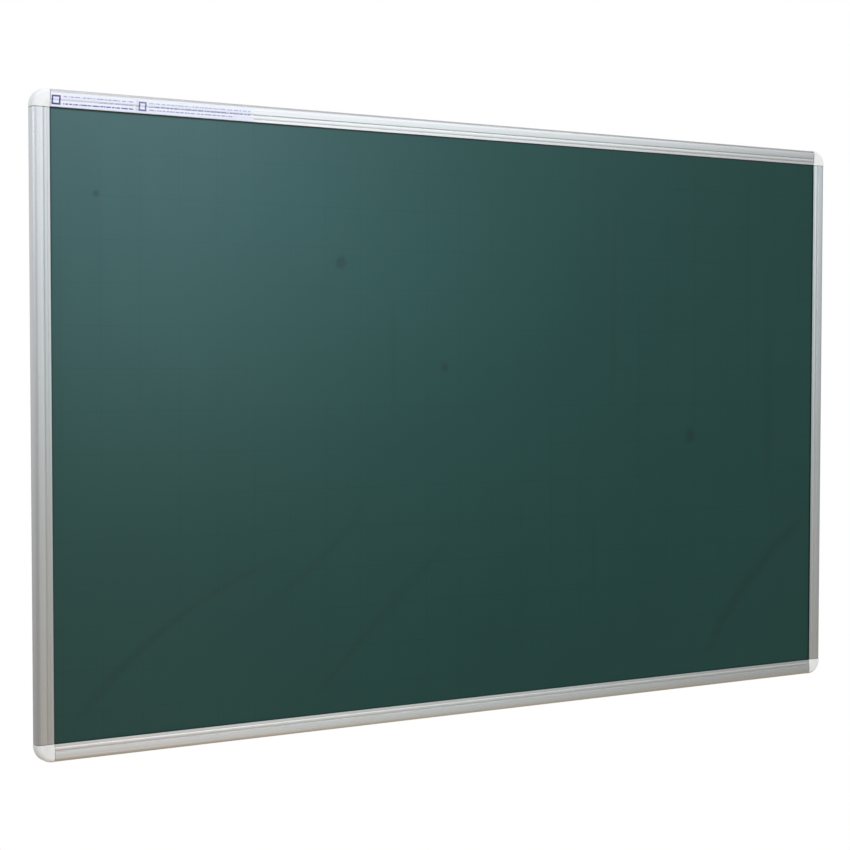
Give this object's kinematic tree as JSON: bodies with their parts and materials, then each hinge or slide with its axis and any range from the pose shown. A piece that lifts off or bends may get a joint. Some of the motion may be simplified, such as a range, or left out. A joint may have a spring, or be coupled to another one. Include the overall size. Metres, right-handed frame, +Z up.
{
  "type": "chalkboard",
  "caption": "Framed steel chalkboard with a printed square grid, anodised aluminium rails, moulded corner caps and sliding keyhole hangers for a wall.",
  "frame": {"origin": "middle of the board's back, in the plane of the wall it hangs on", "axes": "+Z up, -Y the way the writing face looks, +X to the right as seen from the front"},
  "size_m": [1.2286, 0.0141, 0.7726],
  "materials": {
    "chalk_enamel": "matt green baked enamel with a fine printed grid",
    "fibreboard": "raw fibre core",
    "galvanised_steel": "galvanised backing sheet",
    "anodised_aluminium": "satin anodised extrusion",
    "cap_plastic": "moulded light grey plastic",
    "zinc_plated_steel": "zinc plated",
    "label_film": "blank white film label",
    "hanger_steel": "folded galvanised strip"
  },
  "bodies": {
    "board": {"writing_sheet": "chalk_enamel", "core_board": "fibreboard", "back_sheet": "galvanised_steel", "top_rail": "anodised_aluminium", "right_rail": "anodised_aluminium", "bottom_rail": "anodised_aluminium", "left_rail": "anodised_aluminium", "corner_cap_top_right": "cap_plastic", "corner_screw_top_right_1": "zinc_plated_steel", "corner_screw_top_right_2": "zinc_plated_steel", "corner_cap_bottom_right": "cap_plastic", "corner_screw_bottom_right_1": "zinc_plated_steel", "corner_screw_bottom_right_2": "zinc_plated_steel", "corner_cap_bottom_left": "cap_plastic", "corner_screw_bottom_left_1": "zinc_plated_steel", "corner_screw_bottom_left_2": "zinc_plated_steel", "corner_cap_top_left": "cap_plastic", "corner_screw_top_left_1": "zinc_plated_steel", "corner_screw_top_left_2": "zinc_plated_steel", "label_short": "label_film", "label_long": "label_film"},
    "hanger_left": {"hanger_left": "hanger_steel"},
    "hanger_right": {"hanger_right": "hanger_steel"}
  },
  "joints": [
    {"name": "hanger_left_slide", "type": "slide", "parent": "board", "child": "hanger_left", "axis": [1, 0, 0], "range_m": [-0.17, 0.35]},
    {"name": "hanger_right_slide", "type": "slide", "parent": "board", "child": "hanger_right", "axis": [1, 0, 0], "range_m": [-0.35, 0.17]}
  ]
}
